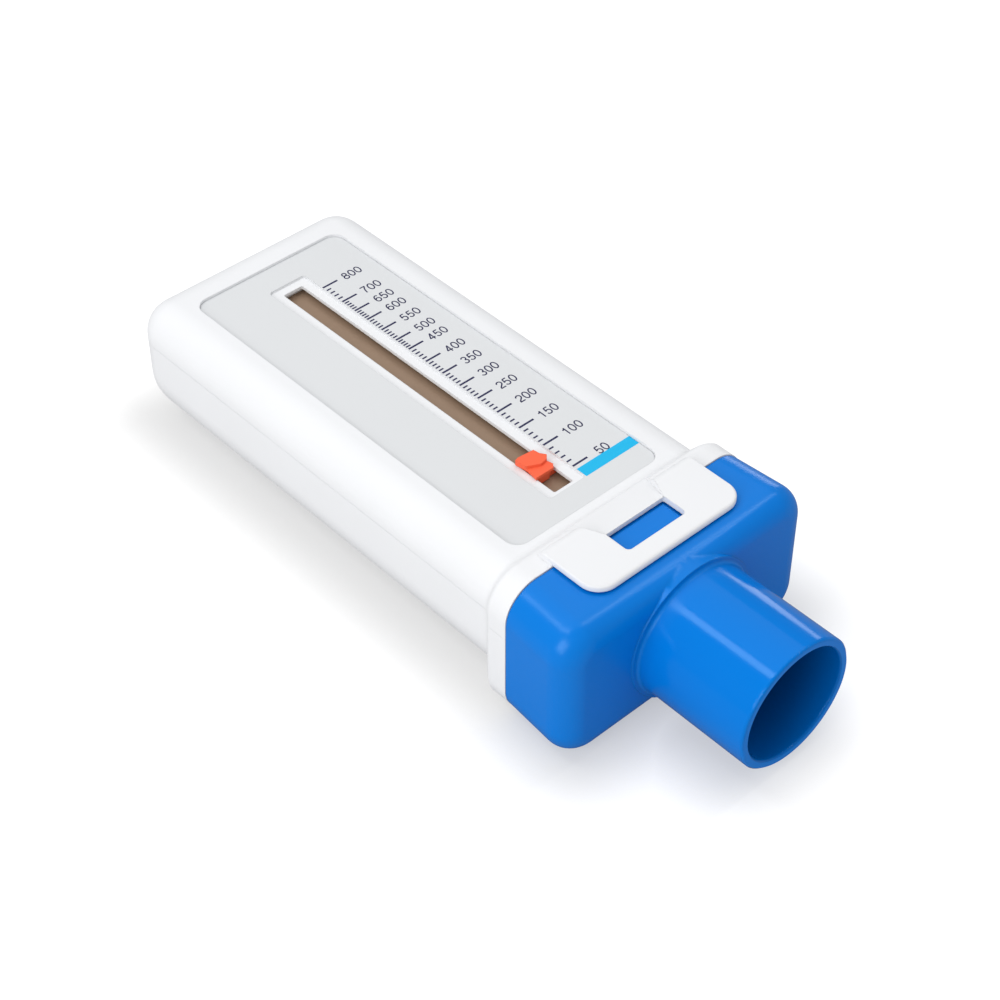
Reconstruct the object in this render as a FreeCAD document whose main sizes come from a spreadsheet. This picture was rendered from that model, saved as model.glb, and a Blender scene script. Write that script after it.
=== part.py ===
"""Peak flow meter: a flat hand-held meter with a blown piston, a pointer slot and a pull-off mouthpiece.

The meter lies on its back. +Z is up, X is the width, and the mouthpiece points along -Y.
The origin is on the table, under the middle of the whole length. All sizes are in millimetres.
"""
import FreeCAD, Part
import math
import os
import Sketcher
from FreeCAD import Placement, Rotation, Vector

doc = FreeCAD.newDocument("peak_flow_meter")
sheet = doc.addObject("Spreadsheet::Sheet", "dims")
rows = []


class Size:
    """A length with its number and the text that binds it to the sheet."""

    def __init__(self, value, text):
        self.value = float(value)
        self.text = text

    def join(self, other, sign, number, swap=False):
        other = as_size(other)
        left, right = (other, self) if swap else (self, other)
        return Size(number(left.value, right.value), f"({left.text} {sign} {right.text})")

    def __add__(self, other):
        return self.join(other, "+", lambda a, b: a + b)

    def __radd__(self, other):
        return self.join(other, "+", lambda a, b: a + b, swap=True)

    def __sub__(self, other):
        return self.join(other, "-", lambda a, b: a - b)

    def __rsub__(self, other):
        return self.join(other, "-", lambda a, b: a - b, swap=True)

    def __mul__(self, other):
        return self.join(other, "*", lambda a, b: a * b)

    def __rmul__(self, other):
        return self.join(other, "*", lambda a, b: a * b, swap=True)

    def __truediv__(self, other):
        return self.join(other, "/", lambda a, b: a / b)

    def __neg__(self):
        return Size(-self.value, f"(-{self.text})")


def as_size(thing):
    return thing if isinstance(thing, Size) else Size(thing, repr(float(thing)))


def size(name, value):
    """One driving size: a cell of the sheet with its own name."""
    rows.append(name)
    cell = f"B{len(rows)}"
    sheet.set(f"A{len(rows)}", name)
    sheet.set(cell, str(value))
    sheet.setAlias(cell, name)
    return Size(value, f"dims.{name}")


# White body, as the two halves make it together.
body_width = size("body_width", 56.0)
body_height = size("body_height", 29.3)
body_end = size("body_end", 80.0)
wall = size("wall", 2.0)
seam_height = size("seam_height", 21.2)
crown_radius = size("crown_radius", 7.2)
keel_radius = size("keel_radius", 13.2)
end_radius = size("end_radius", 6.9)

# Flange where the body flares out to meet the mouthpiece block.
flange_width = size("flange_width", 61.2)
flange_rise = size("flange_rise", 2.9)
flange_height = body_height + flange_rise
flange_radius = size("flange_radius", 7.4)
flange_face = size("flange_face", -37.0)
flange_length = size("flange_length", 4.4)
flare_length = size("flare_length", 4.6)
flange_wall = size("flange_wall", 1.9)
socket_depth = size("socket_depth", 5.4)

# Snap tongue with its window, over the mouthpiece block.
tongue_width = size("tongue_width", 38.4)
tongue_thickness = size("tongue_thickness", 1.3)
tongue_gap = size("tongue_gap", 0.5)
tongue_reach = size("tongue_reach", 11.6)
tongue_corner = size("tongue_corner", 4.4)
ramp_start = size("ramp_start", -31.8)
ramp_length = size("ramp_length", 2.4)
ramp_crest = size("ramp_crest", 2.0)
window_width = size("window_width", 15.0)
window_length = size("window_length", 5.9)
window_offset = size("window_offset", 1.6)
scoop_width = size("scoop_width", 22.4)
scoop_start = size("scoop_start", -30.4)
scoop_rise = size("scoop_rise", 1.25)

# Sunk scale label and the slot that it frames.
label_width = size("label_width", 37.8)
label_near = size("label_near", -27.3)
label_far = size("label_far", 70.4)
label_corner = size("label_corner", 3.0)
label_pocket = size("label_pocket", 0.8)
label_thickness = size("label_thickness", 0.25)
label_gap = size("label_gap", 0.1)
frame_width = size("frame_width", 9.4)
frame_near = size("frame_near", -21.2)
frame_far = size("frame_far", 63.6)
frame_corner = size("frame_corner", 0.8)
frame_sink = size("frame_sink", 0.3)
slot_width = size("slot_width", 4.9)
slot_near = size("slot_near", -20.1)
slot_far = size("slot_far", 61.5)

# Pointer and the brown strip that it runs over.
roof = size("roof", 2.4)
track_depth = size("track_depth", 0.5)
track_gap = size("track_gap", 0.2)
shoe_width = size("shoe_width", 13.0)
shoe_length = size("shoe_length", 4.8)
shoe_thickness = size("shoe_thickness", 0.8)
shoe_leg = size("shoe_leg", 1.5)
leg_drop = size("leg_drop", 3.8)
strip_gap = size("strip_gap", 0.25)
strip_width = size("strip_width", 9.4)
strip_thickness = size("strip_thickness", 0.4)
strip_overlap = size("strip_overlap", 4.2)
rivet_radius = size("rivet_radius", 0.8)
rivet_head = size("rivet_head", 0.7)
rivet_depth = size("rivet_depth", 1.1)
knob_width = size("knob_width", 5.6)
knob_length = size("knob_length", 6.2)
knob_height = size("knob_height", 1.25)
knob_step = size("knob_step", 0.6)
stem_near = size("stem_near", 2.8)
stem_back = size("stem_back", 2.0)
key_start = size("key_start", 1.2)
key_width = size("key_width", 3.1)
stem_gap = size("stem_gap", 0.35)
stem_pin = size("stem_pin", 1.1)
pin_gap = size("pin_gap", 0.05)
knob_lift = size("knob_lift", 0.15)
pointer_place = size("pointer_place", -12.4)
pad_width = size("pad_width", 6.0)

# Piston, its hub, the rod and the spring.
rod_height = size("rod_height", 14.2)
rod_radius = size("rod_radius", 1.5)
rod_run = size("rod_run", 0.06)
vane_gap = size("vane_gap", 0.4)
vane_thickness = size("vane_thickness", 1.6)
vane_skirt = size("vane_skirt", 4.0)
vane_wall = size("vane_wall", 1.4)
vane_notch_gap = size("vane_notch_gap", 0.6)
push_gap = size("push_gap", 0.1)
hub_radius = size("hub_radius", 4.4)
hub_flange_radius = size("hub_flange_radius", 6.4)
hub_flange_length = size("hub_flange_length", 1.6)
hub_back_length = size("hub_back_length", 6.0)
hub_nose_radius = size("hub_nose_radius", 2.45)
hub_nose_length = size("hub_nose_length", 5.0)
hub_fit = size("hub_fit", 0.05)
ring_thickness = size("ring_thickness", 1.0)
ring_fit = size("ring_fit", 0.02)
spring_radius = size("spring_radius", 3.1)
spring_wire = size("spring_wire", 0.44)
spring_turns = size("spring_turns", 8)
spring_gap = size("spring_gap", 0.05)

# Bridges that hold the rod, and the rubber stops on it.
bridge_gap = size("bridge_gap", 0.15)
bridge_thickness = size("bridge_thickness", 2.2)
bridge_rim = size("bridge_rim", 2.4)
bridge_place = size("bridge_place", -31.2)
bridge_hub_radius = size("bridge_hub_radius", 4.2)
bridge_hub_length = size("bridge_hub_length", 5.4)
spoke_width = size("spoke_width", 2.6)
back_bridge_place = size("back_bridge_place", 71.2)
socket_floor = size("socket_floor", 1.2)
rib_thickness = size("rib_thickness", 1.2)
rib_height = size("rib_height", 2.2)
rib_width = size("rib_width", 26.0)
stop_radius = size("stop_radius", 3.6)
stop_fit = size("stop_fit", 0.05)
stop_gap = size("stop_gap", 0.3)
end_stop_radius = size("end_stop_radius", 2.5)
end_stop_length = size("end_stop_length", 7.0)
washer_radius = size("washer_radius", 3.9)
washer_thickness = size("washer_thickness", 0.5)
nut_radius = size("nut_radius", 3.4)
nut_thickness = size("nut_thickness", 0.8)

# Vents in the back, screws and the lip of the seam.
vent_length = size("vent_length", 8.6)
vent_width = size("vent_width", 2.4)
vent_pitch = size("vent_pitch", 6.4)
vent_first = size("vent_first", -8.0)
vent_space = size("vent_space", 6.4)
vent_count = size("vent_count", 9)
vent_bevel = size("vent_bevel", 0.7)
boss_radius = size("boss_radius", 3.1)
boss_across = size("boss_across", 30.0)
boss_near = size("boss_near", -24.3)
boss_far = size("boss_far", 65.8)
screw_radius = size("screw_radius", 1.1)
screw_fit = size("screw_fit", 0.15)
screw_head_radius = size("screw_head_radius", 2.1)
screw_head_height = size("screw_head_height", 1.4)
screw_head_depth = size("screw_head_depth", 5.6)
screw_seat = size("screw_seat", 2.4)
screw_bite = size("screw_bite", 3.6)
drive_width = size("drive_width", 0.6)
drive_depth = size("drive_depth", 0.8)
lip_thickness = size("lip_thickness", 0.9)
lip_height = size("lip_height", 1.1)
lip_gap = size("lip_gap", 0.1)

# Blue mouthpiece: block, skirt and round spigot.
joint_gap = size("joint_gap", 0.15)
block_width = size("block_width", 63.0)
block_step = size("block_step", 0.2)
block_height = flange_height - block_step
block_front = size("block_front", -54.0)
block_line = size("block_line", -48.6)
block_radius = size("block_radius", 7.4)
block_edge = size("block_edge", 5.0)
block_wall = size("block_wall", 2.2)
skirt_gap = size("skirt_gap", 0.3)
skirt_wall = size("skirt_wall", 1.5)
skirt_relief = size("skirt_relief", 0.15)
gasket_thickness = size("gasket_thickness", 0.8)
gasket_width = size("gasket_width", 2.0)
catch_share = size("catch_share", 0.9)
catch_gap = size("catch_gap", 0.5)
spigot_radius = size("spigot_radius", 14.0)
spigot_bore = size("spigot_bore", 12.0)
spigot_end = size("spigot_end", -80.0)
spigot_height = size("spigot_height", 16.2)
spigot_root = size("spigot_root", 0.7)
collar_radius = size("collar_radius", 15.3)
collar_height = size("collar_height", 0.4)
collar_depth = size("collar_depth", 6.0)
rim_bevel = size("rim_bevel", 0.5)

doc.recompute()


# Drawing helpers. Each binds what it makes to the sheet.
def bind(thing, name, amount):
    amount = as_size(amount)
    if "dims." in amount.text:
        thing.setExpression(name, amount.text)


def new_body(label):
    body = doc.addObject("PartDesign::Body", label)
    body.Label = label
    return body


def base_plane(body, role):
    return [item for item in body.Origin.OriginFeatures if item.Role == role][0]


def new_sketch(body, role, offset, name):
    """A sketch on one of the body's own planes, moved along the plane's normal."""
    sketch = body.newObject("Sketcher::SketchObject", name)
    sketch.AttachmentSupport = [(base_plane(body, role), "")]
    sketch.MapMode = "FlatFace"
    offset = as_size(offset)
    sketch.AttachmentOffset = Placement(Vector(0, 0, offset.value), Rotation())
    bind(sketch, "AttachmentOffset.Base.z", offset)
    return sketch


def on_xy(body, height, name):
    return new_sketch(body, "XY_Plane", height, name)


def on_xz(body, place, name):
    """The normal of this plane points along -Y."""
    return new_sketch(body, "XZ_Plane", -as_size(place), name)


def on_yz(body, across, name):
    return new_sketch(body, "YZ_Plane", across, name)


def hold(sketch, kind, items, amount):
    """A dimension of the sketch, bound to the sheet where it has a name there."""
    amount = as_size(amount)
    index = sketch.addConstraint(Sketcher.Constraint(kind, *items, amount.value))
    bind(sketch, f"Constraints[{index}]", amount)


def draw_outline(sketch, points):
    """A closed outline of straight lines through the given corners."""
    corners = [(as_size(a), as_size(b)) for a, b in points]
    first = sketch.GeometryCount
    count = len(corners)
    for i in range(count):
        a = corners[i]
        b = corners[(i + 1) % count]
        start = Vector(a[0].value, a[1].value, 0)
        stop = Vector(b[0].value, b[1].value, 0)
        sketch.addGeometry(Part.LineSegment(start, stop))
    for i in range(count):
        after = first + (i + 1) % count
        sketch.addConstraint(Sketcher.Constraint("Coincident", first + i, 2, after, 1))
    for i in range(count):
        hold(sketch, "DistanceX", (-1, 1, first + i, 1), corners[i][0])
        hold(sketch, "DistanceY", (-1, 1, first + i, 1), corners[i][1])


def draw_rectangle(sketch, left, right, low, high):
    draw_outline(sketch, [(left, low), (right, low), (right, high), (left, high)])


def draw_bevelled(sketch, left, right, low, high, bevel):
    """A rectangle with its corners cut off."""
    draw_outline(
        sketch,
        [
            (left + bevel, low),
            (right - bevel, low),
            (right, low + bevel),
            (right, high - bevel),
            (right - bevel, high),
            (left + bevel, high),
            (left, high - bevel),
            (left, low + bevel),
        ],
    )


def draw_rounded(sketch, left, right, low, high, low_radius, high_radius):
    """A rectangle with round corners: one radius below and one above."""
    left, right, low, high = (as_size(one) for one in (left, right, low, high))
    first = sketch.GeometryCount
    r = as_size(low_radius).value
    q = as_size(high_radius).value
    x0, x1, y0, y1 = left.value, right.value, low.value, high.value
    lines = [
        ((x0 + r, y0), (x1 - r, y0)),
        ((x1, y0 + r), (x1, y1 - q)),
        ((x1 - q, y1), (x0 + q, y1)),
        ((x0, y1 - q), (x0, y0 + r)),
    ]
    for a, b in lines:
        sketch.addGeometry(Part.LineSegment(Vector(a[0], a[1], 0), Vector(b[0], b[1], 0)))
    centres = [(x1 - r, y0 + r, r, -90), (x1 - q, y1 - q, q, 0), (x0 + q, y1 - q, q, 90), (x0 + r, y0 + r, r, 180)]
    for a, b, radius, turn in centres:
        circle = Part.Circle(Vector(a, b, 0), Vector(0, 0, 1), radius)
        start = math.radians(turn)
        sketch.addGeometry(Part.ArcOfCircle(circle, start, start + math.pi / 2))
    for i in range(4):
        after = first + (i + 1) % 4
        sketch.addConstraint(Sketcher.Constraint("Tangent", first + i, 2, first + 4 + i, 1))
        sketch.addConstraint(Sketcher.Constraint("Tangent", first + 4 + i, 2, after, 1))
    for i, kind in enumerate(("Horizontal", "Vertical", "Horizontal", "Vertical")):
        sketch.addConstraint(Sketcher.Constraint(kind, first + i))
    hold(sketch, "DistanceY", (-1, 1, first, 1), low)
    hold(sketch, "DistanceX", (-1, 1, first + 1, 1), right)
    hold(sketch, "DistanceY", (-1, 1, first + 2, 1), high)
    hold(sketch, "DistanceX", (-1, 1, first + 3, 1), left)
    hold(sketch, "Radius", (first + 4,), low_radius)
    hold(sketch, "Radius", (first + 5,), high_radius)
    hold(sketch, "Radius", (first + 6,), high_radius)
    hold(sketch, "Radius", (first + 7,), low_radius)


def draw_circle(sketch, across, up, radius):
    across, up = as_size(across), as_size(up)
    index = sketch.addGeometry(
        Part.Circle(Vector(across.value, up.value, 0), Vector(0, 0, 1), as_size(radius).value)
    )
    hold(sketch, "DistanceX", (-1, 1, index, 3), across)
    hold(sketch, "DistanceY", (-1, 1, index, 3), up)
    hold(sketch, "Radius", (index,), radius)


def extrude(body, kind, sketch, length, name, back=False, middle=False):
    feature = body.newObject(f"PartDesign::{kind}", name)
    feature.Profile = sketch
    feature.Length = as_size(length).value
    bind(feature, "Length", length)
    feature.Reversed = back
    feature.Midplane = middle
    sketch.Visibility = False
    return feature


def pad(body, sketch, length, name, back=False, middle=False):
    """Material from the sketch along its plane's normal, or against it."""
    return extrude(body, "Pad", sketch, length, name, back, middle)


def pocket(body, sketch, length, name, back=False, middle=False):
    """A cut from the sketch along its plane's normal, or against it; it has to remove something."""
    doc.recompute()
    before = body.Shape.Volume
    feature = extrude(body, "Pocket", sketch, length, name, not back, middle)
    doc.recompute()
    if body.Shape.Volume > before - 1e-4:
        raise RuntimeError(f"{name} cut nothing")
    return feature


def round_edges(body, name, radius, choose, kind="Fillet"):
    """Rounds the edges of the body so far that the test picks."""
    doc.recompute()
    base = body.Tip
    picked = [f"Edge{i + 1}" for i, edge in enumerate(base.Shape.Edges) if choose(edge)]
    if not picked:
        raise RuntimeError(f"{name} found no edge")
    feature = body.newObject(f"PartDesign::{kind}", name)
    feature.Base = (base, picked)
    amount = "Radius" if kind == "Fillet" else "Size"
    setattr(feature, amount, as_size(radius).value)
    bind(feature, amount, radius)
    return feature


def near(a, b, slack=0.02):
    return abs(as_size(a).value - as_size(b).value) < slack


def flat_at(edge, axis, place):
    """True for an edge that lies in the plane where this axis has this value."""
    box = edge.BoundBox
    low = (box.XMin, box.YMin, box.ZMin)[axis]
    high = (box.XMax, box.YMax, box.ZMax)[axis]
    return near(low, place) and near(high, place)


def upright(edge):
    box = edge.BoundBox
    return box.XLength < 0.01 and box.YLength < 0.01 and box.ZLength > 0.01


def half_cut(name, base, tool, kind="Part::Cut"):
    feature = doc.addObject(kind, name)
    feature.Base = base
    feature.Tool = tool
    return feature


def new_box(name, low, high):
    """A box between two corners."""
    box = doc.addObject("Part::Box", name)
    low = [as_size(one) for one in low]
    high = [as_size(one) for one in high]
    for side, a, b in zip(("Length", "Width", "Height"), low, high):
        setattr(box, side, (b - a).value)
        bind(box, side, b - a)
    box.Placement = Placement(Vector(*[one.value for one in low]), Rotation())
    for letter, a in zip("xyz", low):
        bind(box, f"Placement.Base.{letter}", a)
    return box


half = body_width / 2
flange_half = flange_width / 2
flange_back = flange_face + flange_length
flare_start = flange_back + flare_length
top_floor = body_height - label_pocket
ceiling = body_height - roof
inside = half - wall
far = body_end * 3


# The outer form of the closed body, before it is split into two halves.
form = new_body("casing_form")
prism = on_xz(form, flare_start, "body_section")
draw_rounded(prism, -half, half, 0, body_height, keel_radius, crown_radius)
pad(form, prism, body_end - flare_start, "body_prism", back=True)
round_edges(form, "far_end_round", end_radius, lambda e: flat_at(e, 1, body_end))
rise = flange_height - body_height
spread = flange_half - half


def flare_section(name, place, share, mix):
    """A section of the flare: share is how far it has grown, mix how square its corners are."""
    section = on_xz(form, place, name)
    low = keel_radius + (flange_radius - keel_radius) * mix
    high = crown_radius + (flange_radius - crown_radius) * mix
    wide = half + spread * share
    draw_rounded(section, -wide, wide, 0, body_height + rise * share, low, high)
    return section


flare = form.newObject("PartDesign::AdditiveLoft", "flare")
flare.Profile = flare_section("flare_root", flare_start, 0.0, 0.0)
flare.Sections = [
    (flare_section("flare_early", flare_start - flare_length * 0.35, 0.12, 0.25), ""),
    (flare_section("flare_late", flare_start - flare_length * 0.75, 0.74, 0.75), ""),
    (flare_section("flare_crest", flange_back, 1.0, 1.0), ""),
]
flange = on_xz(form, flange_back, "flange_section")
draw_rounded(flange, -flange_half, flange_half, 0, flange_height, flange_radius, flange_radius)
pad(form, flange, flange_length, "flange_block")

# The hollow of the body: the piston's chamber and the socket for the mouthpiece.
cavity = new_body("casing_cavity")
bore = on_xz(cavity, flange_face - 1.0, "chamber_section")
draw_rounded(bore, -inside, inside, wall, ceiling, keel_radius - wall, crown_radius - wall)
pad(cavity, bore, body_end - wall - flange_face + 1.0, "chamber", back=True)
round_edges(
    cavity,
    "chamber_end_bevel",
    (end_radius - wall) * 0.7,
    lambda e: flat_at(e, 1, body_end - wall),
    "Chamfer",
)
socket = on_xz(cavity, flange_face - 1.0, "socket_section")
socket_half = flange_half - flange_wall
socket_low = flange_wall
socket_high = flange_height - flange_wall
socket_corner = flange_radius - flange_wall
draw_rounded(socket, -socket_half, socket_half, socket_low, socket_high, socket_corner, socket_corner)
pad(cavity, socket, socket_depth + 1.0, "mouth_socket", back=True)

shell = half_cut("casing_shell", form, cavity)
above = new_box("above_seam", (-far, -far, seam_height), (far, far, far))
below = new_box("below_seam", (-far, -far, -far), (far, far, seam_height))
front_half = half_cut("front_half", shell, above, "Part::Common")
back_half = half_cut("back_half", shell, below, "Part::Common")

# Front casing: the lid with the label pocket, the slot, the tongue and the screw posts.
front = new_body("front_casing")
front.BaseFeature = front_half
doc.recompute()
tongue_low = block_height + tongue_gap
tongue_top = tongue_low + tongue_thickness
tongue_end = flange_face - tongue_reach
profile = on_yz(front, 0, "tongue_profile")
draw_outline(
    profile,
    [
        (ramp_start, flange_height - flange_wall / 2),
        (ramp_start - ramp_length, tongue_top),
        (tongue_end, tongue_top),
        (tongue_end, tongue_low),
        (flange_face, tongue_low),
        (flange_face, flange_height - flange_wall / 2),
    ],
)
pad(front, profile, tongue_width, "tongue", middle=True)
round_edges(
    front,
    "tongue_crest",
    ramp_crest,
    lambda e: flat_at(e, 1, ramp_start - ramp_length) and near(e.BoundBox.ZMax, tongue_top),
)
round_edges(
    front,
    "tongue_corners",
    tongue_corner,
    lambda e: upright(e) and near(e.BoundBox.YMin, tongue_end) and near(e.BoundBox.ZMax, tongue_top),
)
round_edges(
    front,
    "tongue_edges",
    tongue_thickness * 0.35,
    lambda e: near(e.BoundBox.ZMin, tongue_top) and e.BoundBox.YMin < flange_face.value,
    "Chamfer",
)
window_far = flange_face - window_offset
window = on_xy(front, tongue_top, "window_outline")
draw_rounded(
    window, -window_width / 2, window_width / 2, window_far - window_length, window_far, 1.0, 0.5
)
pocket(front, window, tongue_thickness, "window", back=True)

# The scoop is a ramp from the label up to the window, narrower at the window.
scoop = front.newObject("PartDesign::SubtractiveLoft", "finger_scoop")
scoop_low = on_xz(front, scoop_start, "scoop_root")
scoop_foot = body_height + scoop_rise
draw_rectangle(scoop_low, -scoop_width / 2, scoop_width / 2, scoop_foot, tongue_top + 3.0)
scoop_high = on_xz(front, window_far - 0.05, "scoop_end")
draw_rectangle(scoop_high, -window_width / 2, window_width / 2, tongue_top - 0.25, tongue_top + 3.0)
scoop.Profile = scoop_low
scoop.Sections = [(scoop_high, "")]
scoop.Ruled = True
pocket_outline = on_xy(front, body_height, "label_outline")
draw_rounded(
    pocket_outline, -label_width / 2, label_width / 2, label_near, label_far, label_corner, label_corner
)
pocket(front, pocket_outline, label_pocket, "label_pocket_cut", back=True)

# The frame round the slot is sunk a little below the label.
tray = on_xy(front, top_floor, "tray_outline")
draw_rounded(tray, -frame_width / 2, frame_width / 2, frame_near, frame_far, frame_corner, frame_corner)
pocket(front, tray, frame_sink, "tray_cut", back=True)
tray_floor = top_floor - frame_sink

# A shallow track under the roof, as wide as the pointer's shoe, and the slot through it.
track_half = shoe_width / 2 + track_gap
track = on_xy(front, ceiling - 0.5, "track_outline")
draw_rectangle(track, -track_half, track_half, slot_near - 1.0, slot_far + 1.0)
pocket(front, track, track_depth + 0.5, "track_cut")
slot = on_xy(front, tray_floor + 0.1, "slot_outline")
draw_rounded(slot, -slot_width / 2, slot_width / 2, slot_near, slot_far, 0.4, 0.4)
pocket(front, slot, roof + 1.0, "slot_cut", back=True)

# Two blocks under the ends of the slot carry the strip.
track_roof = ceiling + track_depth
shoe_top = track_roof - track_gap
shoe_base = shoe_top - shoe_thickness
strip_top = shoe_base - strip_gap
for name, place in (
    ("strip_block_near", slot_near - 1.0 - strip_overlap),
    ("strip_block_far", slot_far + 1.0),
):
    block = on_xy(front, strip_top, f"{name}_outline")
    draw_rectangle(block, -strip_width / 2, strip_width / 2, place, place + strip_overlap)
    pad(front, block, ceiling - strip_top + 0.3, name)
rivet_near = slot_near - 1.0 - strip_overlap / 2
rivet_far = slot_far + 1.0 + strip_overlap / 2
rivet_holes = on_xy(front, strip_top - 0.1, "rivet_hole_outline")
draw_circle(rivet_holes, 0, rivet_near, rivet_radius)
draw_circle(rivet_holes, 0, rivet_far, rivet_radius)
pocket(front, rivet_holes, rivet_depth + 0.3, "rivet_holes")


# Screw posts hang from the roof to the seam.
def draw_post(sketch, across, along):
    """The outline of one screw post, with bevelled corners."""
    left = across - boss_radius
    right = across + boss_radius
    draw_bevelled(sketch, left, right, along - boss_radius, along + boss_radius, boss_radius * 0.6)


posts = on_xy(front, seam_height, "post_outline")
corners = [
    (boss_across / 2, boss_near),
    (-boss_across / 2, boss_near),
    (boss_across / 2, boss_far),
    (-boss_across / 2, boss_far),
]
for across, along in corners:
    draw_post(posts, across, along)
pad(front, posts, ceiling - seam_height + 0.3, "screw_posts")
pilot = on_xy(front, seam_height - 0.2, "pilot_outline")
for across, along in corners:
    draw_circle(pilot, across, along, screw_radius)
pocket(front, pilot, screw_bite + 0.3, "pilot_holes")

# Rebate along the seam for the lip of the back casing.
rebate = on_xy(front, seam_height - 0.1, "rebate_outline")
rebate_out = inside + lip_thickness + lip_gap
lip_near = flare_start + 0.4
rebate_far = body_end - wall + lip_thickness + lip_gap
draw_rounded(
    rebate, -rebate_out, rebate_out, lip_near - lip_gap, rebate_far, 0.5, end_radius - wall + lip_thickness
)
draw_rounded(
    rebate, -inside + 0.2, inside - 0.2, lip_near + 0.2, body_end - wall - 0.2, 0.5, end_radius - wall
)
pocket(front, rebate, lip_height + lip_gap + 0.1, "seam_rebate")

# Back casing: the tub with the vents, the ribs that seat the bridges and the screw bosses.
back = new_body("back_casing")
back.BaseFeature = back_half
doc.recompute()
lip = on_xy(back, seam_height, "lip_outline")
lip_out = inside + lip_thickness
lip_far = body_end - wall + lip_thickness
draw_rounded(lip, -lip_out, lip_out, lip_near, lip_far, 0.4, end_radius - wall + lip_thickness - lip_gap)
pad(back, lip, lip_height, "seam_lip")
lip_hollow = on_xy(back, seam_height + lip_height, "lip_hollow_outline")
draw_rounded(lip_hollow, -inside, inside, lip_near - 2.0, body_end - wall, 0.4, end_radius - wall)
pocket(back, lip_hollow, lip_height, "lip_hollow", back=True)
bosses = on_xy(back, wall / 2, "boss_outline")
for across, along in corners:
    draw_post(bosses, across, along)
pad(back, bosses, seam_height - wall / 2, "screw_bosses")
clearance = on_xy(back, -1.0, "screw_clearance_outline")
for across, along in corners:
    draw_circle(clearance, across, along, screw_radius + screw_fit)
pocket(back, clearance, seam_height + 3.0, "screw_holes")
sinks = on_xy(back, -1.0, "screw_sink_outline")
for across, along in corners:
    draw_circle(sinks, across, along, screw_head_radius + screw_fit)
pocket(back, sinks, screw_head_depth + 1.0, "screw_sinks")
front_rib = bridge_place + bridge_thickness + bridge_gap
back_rib = back_bridge_place - bridge_gap - rib_thickness
ribs = on_xy(back, wall / 2, "rib_outline")
draw_rectangle(ribs, -rib_width / 2, rib_width / 2, front_rib, front_rib + rib_thickness)
draw_rectangle(ribs, -rib_width / 2, rib_width / 2, back_rib, back_rib + rib_thickness)
back_rib_far = back_bridge_place + bridge_thickness + bridge_gap
draw_rectangle(ribs, -rib_width / 2, rib_width / 2, back_rib_far, back_rib_far + rib_thickness)
pad(back, ribs, wall / 2 + rib_height, "bridge_ribs")
vents = on_xy(back, -1.0, "vent_outline")
vent_last = vent_first + vent_width
draw_bevelled(vents, vent_space / 2, vent_space / 2 + vent_length, vent_first, vent_last, vent_bevel)
draw_bevelled(vents, -vent_space / 2 - vent_length, -vent_space / 2, vent_first, vent_last, vent_bevel)
vent_pair = pocket(back, vents, wall + 2.0, "vent_pair")
vent_row = back.newObject("PartDesign::LinearPattern", "vent_row")
vent_row.Originals = [vent_pair]
vent_row.Direction = (vents, ["V_Axis"])
vent_row.Length = (vent_pitch * (vent_count - 1)).value
bind(vent_row, "Length", vent_pitch * (vent_count - 1))
vent_row.Occurrences = int(vent_count.value)
bind(vent_row, "Occurrences", vent_count)
back.Tip = vent_row

# Scale label: a thin film with the frame of the slot cut out of it.
label = new_body("scale_label")
film = on_xy(label, top_floor, "film_outline")
draw_rounded(
    film,
    -label_width / 2 + label_gap,
    label_width / 2 - label_gap,
    label_near + label_gap,
    label_far - label_gap,
    label_corner - label_gap,
    label_corner - label_gap,
)
draw_rounded(film, -frame_width / 2, frame_width / 2, frame_near, frame_far, frame_corner, frame_corner)
pad(label, film, label_thickness, "film")

# Brown strip under the slot, with a rivet at each end.
strip = new_body("slot_strip")
ribbon = on_xy(strip, strip_top, "ribbon_outline")
draw_rectangle(
    ribbon,
    -strip_width / 2,
    strip_width / 2,
    slot_near - 1.0 - strip_overlap,
    slot_far + 1.0 + strip_overlap,
)
draw_circle(ribbon, 0, rivet_near, rivet_radius + pin_gap)
draw_circle(ribbon, 0, rivet_far, rivet_radius + pin_gap)
pad(strip, ribbon, strip_thickness, "ribbon", back=True)

rivets = []
for name, along in (("rivet_one", rivet_near), ("rivet_two", rivet_far)):
    rivet = new_body(name)
    turn = rivet.newObject("Sketcher::SketchObject", f"{name}_half")
    turn.AttachmentSupport = [(base_plane(rivet, "XZ_Plane"), "")]
    turn.MapMode = "FlatFace"
    under = strip_top - strip_thickness
    draw_outline(
        turn,
        [
            (0, under - rivet_head),
            (rivet_radius * 1.9, under - rivet_head),
            (rivet_radius * 1.9, under),
            (rivet_radius, under),
            (rivet_radius, strip_top + rivet_depth),
            (0, strip_top + rivet_depth),
        ],
    )
    spin = rivet.newObject("PartDesign::Revolution", f"{name}_turned")
    spin.Profile = turn
    spin.ReferenceAxis = (turn, ["V_Axis"])
    spin.Angle = 360.0
    turn.Visibility = False
    rivet.Placement = Placement(Vector(0, along.value, 0), Rotation())
    bind(rivet, "Placement.Base.y", along)
    rivets.append(rivet)
strip_rivets = doc.addObject("Part::Compound", "strip_rivets")
strip_rivets.Links = rivets

# Pointer: the orange knob above the slot, its stem and pin, and the shoe under the roof.
knob = new_body("pointer_knob")
knob_base = tray_floor + knob_lift
shoe_near_edge = pointer_place - shoe_length / 2
stem_half = slot_width / 2 - stem_gap
near_edge = pointer_place - knob_length / 2


def on_knob(points):
    """Corners given as shares of the knob's width and length."""
    return [(knob_width * across, near_edge + knob_length * along) for across, along in points]


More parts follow.
